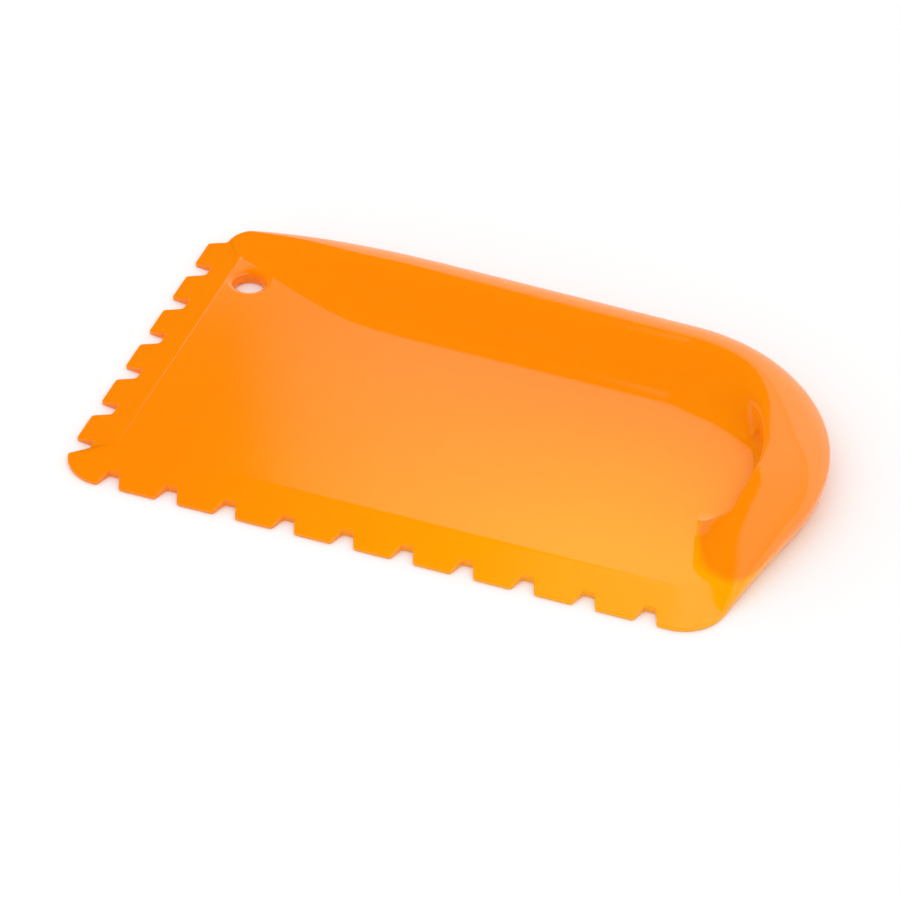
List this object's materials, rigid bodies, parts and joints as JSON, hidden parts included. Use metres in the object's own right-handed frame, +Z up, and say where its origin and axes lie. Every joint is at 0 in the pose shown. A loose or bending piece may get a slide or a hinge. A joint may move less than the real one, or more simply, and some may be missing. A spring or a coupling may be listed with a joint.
{
  "type": "cleaning scraper",
  "caption": "Flat moulded pan scraper with serrated front and side blades, a hanging hole and a raised, rounded grip rim.",
  "frame": {"origin": "middle of the footprint, at the height of the surface that the scraper lies on", "axes": "+X runs along the long serrated blade towards the grip rim's end, +Y from that blade towards the rim along the rear, +Z up, out of the face that the hanging hole's rounded lip is on"},
  "size_m": [0.1174, 0.0692, 0.0077],
  "materials": {
    "moulded_plastic": "glossy moulded plastic, slightly translucent, orange"
  },
  "bodies": {
    "root": {"scraper_body": "moulded_plastic"}
  },
  "joints": []
}
